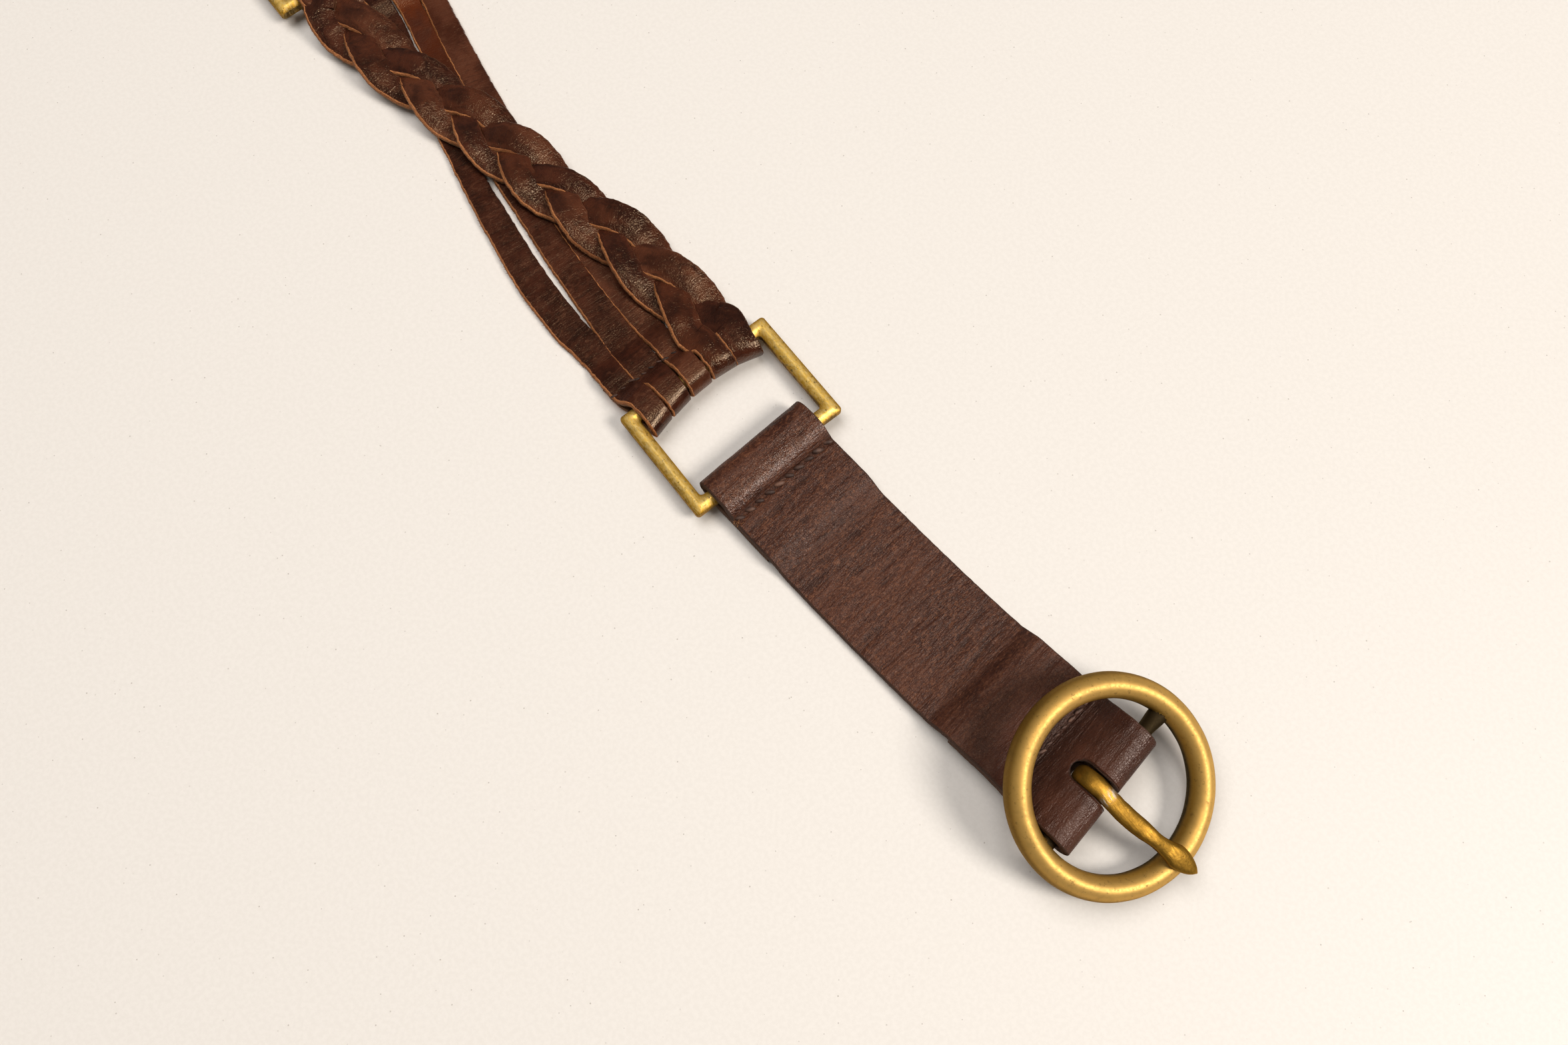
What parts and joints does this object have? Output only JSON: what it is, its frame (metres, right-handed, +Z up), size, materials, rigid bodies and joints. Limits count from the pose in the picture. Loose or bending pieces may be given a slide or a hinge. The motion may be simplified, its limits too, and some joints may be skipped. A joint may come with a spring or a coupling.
{
  "type": "braided leather belt",
  "caption": "Leather belt with a round centre-bar buckle, flat strips crossed by a plaited strap between rectangular rings, and a punched free end.",
  "frame": {"origin": "on the surface that the belt lies on, under the middle of its length and width", "axes": "+X along the belt towards the buckle, +Y across it, +Z up from the surface"},
  "size_m": [0.5296, 0.0674, 0.023],
  "materials": {
    "leather": "dark brown waxed leather, fine grain, worn",
    "strip_leather": "reddish brown leather, scratched, raw cut edges",
    "braid_leather": "glossy dark reddish brown leather, raw cut edges",
    "ring_brass": "antique brass, rubbed bright on the edges",
    "buckle_brass": "dark antique brass, rubbed bright on the crowns",
    "prong_metal": "dark antique brass worn to silver at the bend"
  },
  "bodies": {
    "belt": {"buckle_tab": "leather", "tongue": "leather", "strip_left": "strip_leather", "strip_middle": "strip_leather", "strip_right": "strip_leather", "braid": "braid_leather", "ring_front": "ring_brass", "ring_rear": "ring_brass"},
    "buckle": {"buckle_frame": "buckle_brass"},
    "prong": {"prong": "prong_metal"}
  },
  "joints": [
    {"name": "buckle_swivel", "type": "hinge", "parent": "belt", "child": "buckle", "pos_m": [0.23503, 0.00504, 0.01192], "axis": [-0.1323, 0.9912, 0], "range_deg": [-2, 80]},
    {"name": "prong_hinge", "type": "hinge", "parent": "buckle", "child": "prong", "pos_m": [0.23503, 0.00504, 0.01192], "axis": [0.1323, -0.9912, 0], "range_deg": [0, 110]}
  ]
}
